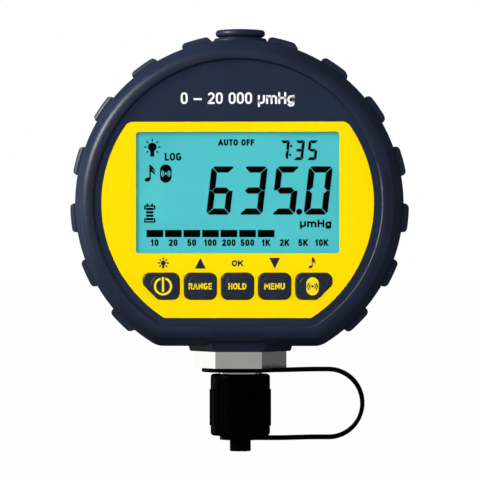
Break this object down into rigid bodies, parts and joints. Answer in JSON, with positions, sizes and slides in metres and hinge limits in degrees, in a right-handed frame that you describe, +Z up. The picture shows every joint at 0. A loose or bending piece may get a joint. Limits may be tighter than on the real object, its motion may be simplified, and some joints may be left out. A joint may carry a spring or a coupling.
{
  "type": "digital vacuum gauge",
  "caption": "Handheld digital vacuum gauge: round head in a rubber boot, display and press keys, flare port below under a tethered screw cap.",
  "frame": {"origin": "tip of the flare nose, on the axis of the port", "axes": "+Z up along the port axis towards the head, -Y out of the display towards the viewer, +X to the viewer's right"},
  "size_m": [0.0934, 0.038, 0.1171],
  "materials": {
    "boot_rubber": "moulded, satin",
    "housing_navy": "moulded, fine texture",
    "screw_steel": "zinc plated",
    "label_yellow": "printed film",
    "window_clear": "clear polycarbonate",
    "lcd_teal": "backlit liquid crystal cell",
    "frame_steel": "tinned sheet",
    "guide_white": "diffusing acrylic",
    "connector_rubber": "striped elastomer",
    "board_green": "solder mask",
    "black_plastic": "moulded",
    "module_metal": "tinned can",
    "battery_case": "plain jacket",
    "lead_red": "insulated wire",
    "port_nickel": "turned, nickel plated brass",
    "header_metal": "plated header",
    "seal_rubber": "moulded",
    "cap_black": "moulded",
    "strap_black": "moulded",
    "key_navy": "moulded",
    "plunger_white": "moulded"
  },
  "bodies": {
    "case": {"rubber_boot": "boot_rubber", "top_plug": "boot_rubber", "front_housing": "housing_navy", "rear_housing": "housing_navy", "battery_door": "housing_navy", "case_screws": "screw_steel", "board_screws": "screw_steel", "door_screw": "screw_steel", "face_label": "label_yellow", "display_window": "window_clear", "lcd_glass": "lcd_teal", "lcd_frame": "frame_steel", "light_guide": "guide_white", "display_connector": "connector_rubber", "main_board": "board_green", "sensor_board": "board_green", "buzzer": "black_plastic", "radio_module": "module_metal", "processor": "black_plastic", "battery": "battery_case", "battery_snap": "black_plastic", "battery_leads": "lead_red", "port_fitting": "port_nickel", "lock_nut": "port_nickel", "sensor_header": "header_metal", "sensor_seal": "seal_rubber", "board_link": "black_plastic", "cap_strap": "strap_black", "power_switch": "black_plastic", "units_switch": "black_plastic", "run_switch": "black_plastic", "mode_switch": "black_plastic", "radio_switch": "black_plastic"},
    "power_button": {"power_key": "key_navy", "power_plunger": "plunger_white"},
    "units_button": {"units_key": "key_navy", "units_plunger": "plunger_white"},
    "run_button": {"run_key": "key_navy", "run_plunger": "plunger_white"},
    "mode_button": {"mode_key": "key_navy", "mode_plunger": "plunger_white"},
    "radio_button": {"radio_key": "key_navy", "radio_plunger": "plunger_white"},
    "cap": {"flare_cap": "cap_black", "cap_gasket": "seal_rubber"}
  },
  "joints": [
    {"name": "power_press", "type": "slide", "parent": "case", "child": "power_button", "axis": [0, 1, 0], "range_m": [0, 0.0006], "stiffness_N_per_m": 1500, "springref_m": -0.0006},
    {"name": "units_press", "type": "slide", "parent": "case", "child": "units_button", "axis": [0, 1, 0], "range_m": [0, 0.0006], "stiffness_N_per_m": 1500, "springref_m": -0.0006},
    {"name": "run_press", "type": "slide", "parent": "case", "child": "run_button", "axis": [0, 1, 0], "range_m": [0, 0.0006], "stiffness_N_per_m": 1500, "springref_m": -0.0006},
    {"name": "mode_press", "type": "slide", "parent": "case", "child": "mode_button", "axis": [0, 1, 0], "range_m": [0, 0.0006], "stiffness_N_per_m": 1500, "springref_m": -0.0006},
    {"name": "radio_press", "type": "slide", "parent": "case", "child": "radio_button", "axis": [0, 1, 0], "range_m": [0, 0.0006], "stiffness_N_per_m": 1500, "springref_m": -0.0006},
    {"name": "cap_off", "type": "slide", "parent": "case", "child": "cap", "axis": [0, 0, -1], "range_m": [0, 0.014], "deforming": ["cap_strap"]}
  ]
}
